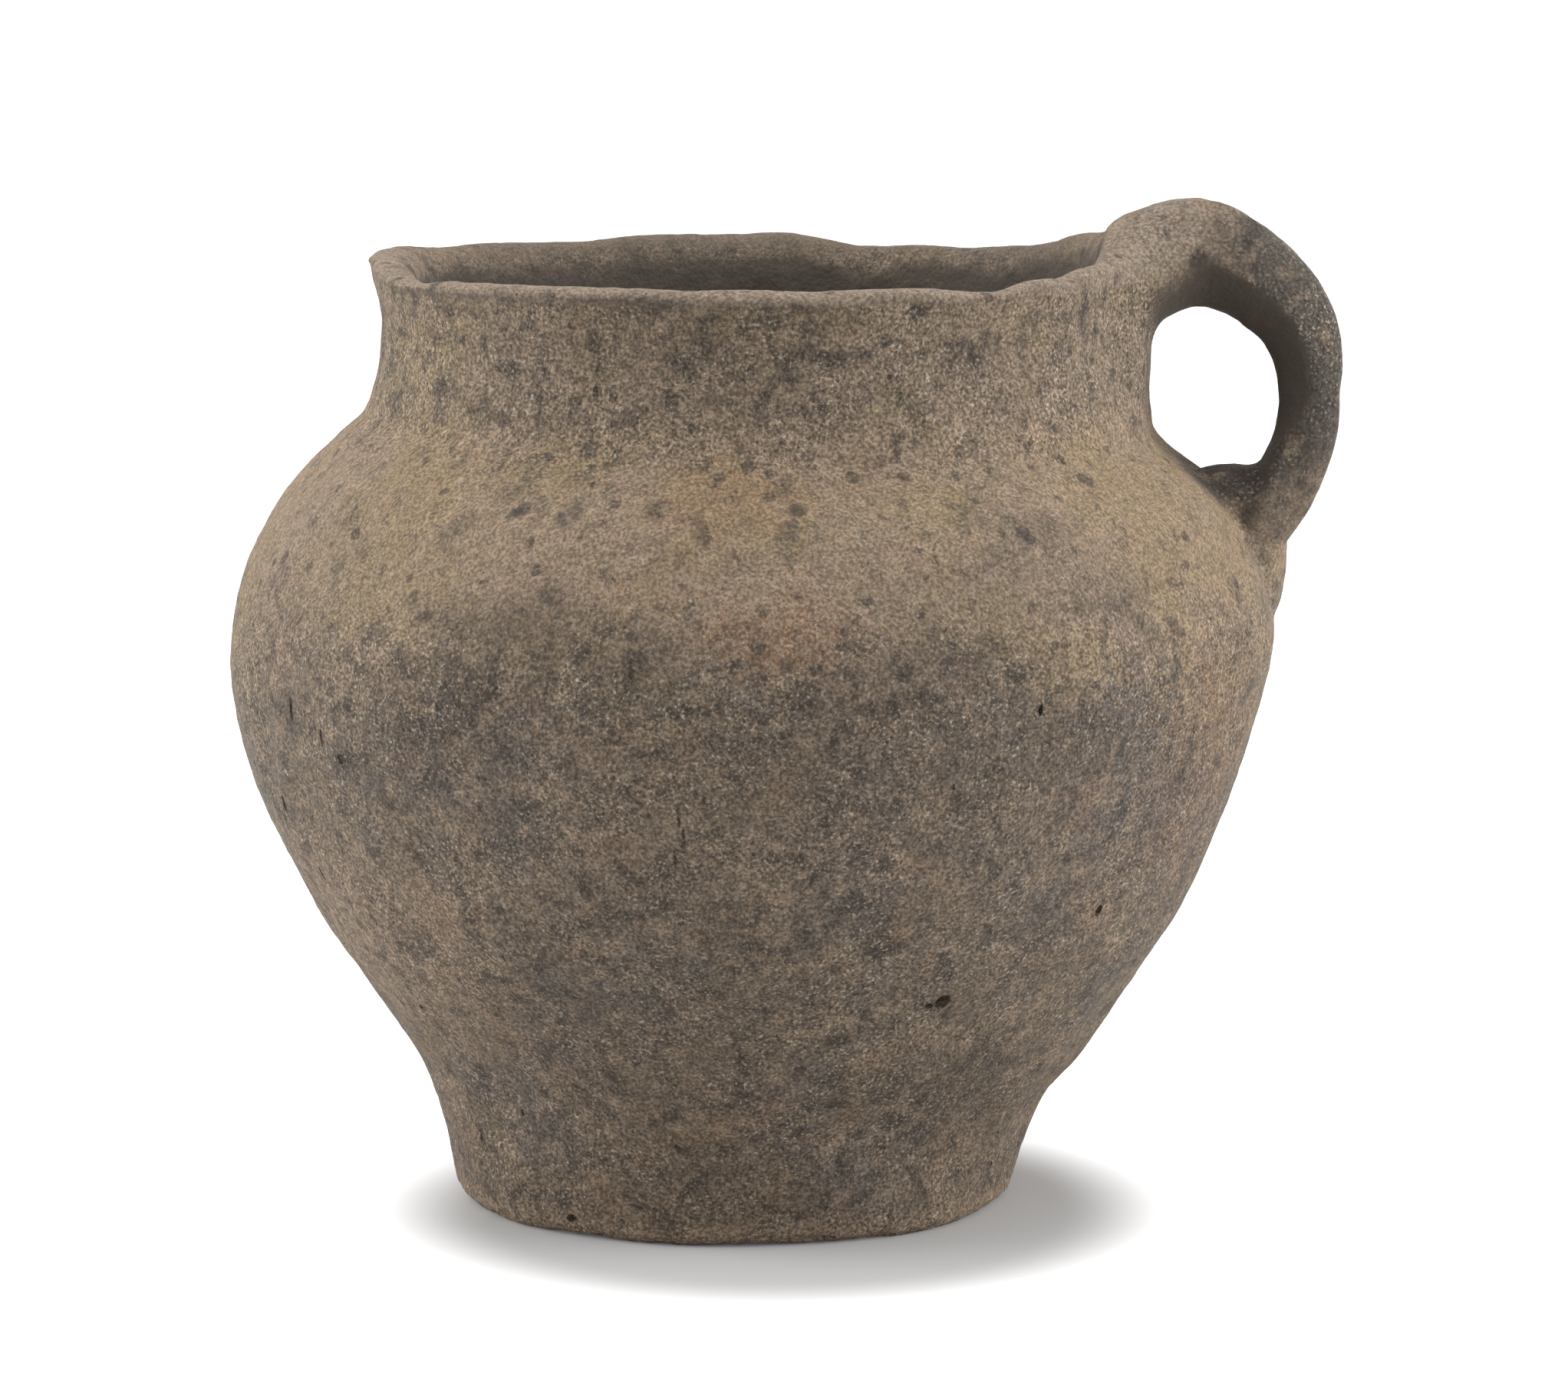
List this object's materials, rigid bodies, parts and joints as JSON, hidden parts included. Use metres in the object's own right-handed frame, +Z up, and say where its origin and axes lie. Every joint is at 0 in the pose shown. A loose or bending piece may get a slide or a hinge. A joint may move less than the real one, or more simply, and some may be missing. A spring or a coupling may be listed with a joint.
{
  "type": "single-handled olla",
  "caption": "Hand-built round-bellied clay cooking pot with a flat base, a wide everted rim and one finger loop handle from rim to shoulder.",
  "frame": {"origin": "centre of the flat underside of the base disc", "axes": "+Z up along the pot's axis, +X towards the handle, so the handle's arch lies in the XZ plane"},
  "size_m": [0.1933, 0.1818, 0.1752],
  "materials": {
    "lower_clay": "matte coarse fired clay, mottled grey-brown, smoked",
    "belly_clay": "matte coarse fired clay, grey-brown with dark fire clouds",
    "shoulder_clay": "matte coarse fired clay, tan with soot spots",
    "rim_clay": "matte coarse fired clay, pinkish grey-brown",
    "handle_clay": "matte coarse fired clay, sooty dark brown"
  },
  "bodies": {
    "root": {"base_disc": "lower_clay", "foot_coil": "lower_clay", "lower_wall_coil": "lower_clay", "upper_wall_coil": "belly_clay", "belly_coil": "belly_clay", "shoulder_coil": "shoulder_clay", "neck_root_coil": "shoulder_clay", "neck_coil": "shoulder_clay", "rim_coil": "rim_clay", "handle_roll": "handle_clay", "upper_luting": "shoulder_clay", "lower_luting": "handle_clay"}
  },
  "joints": []
}
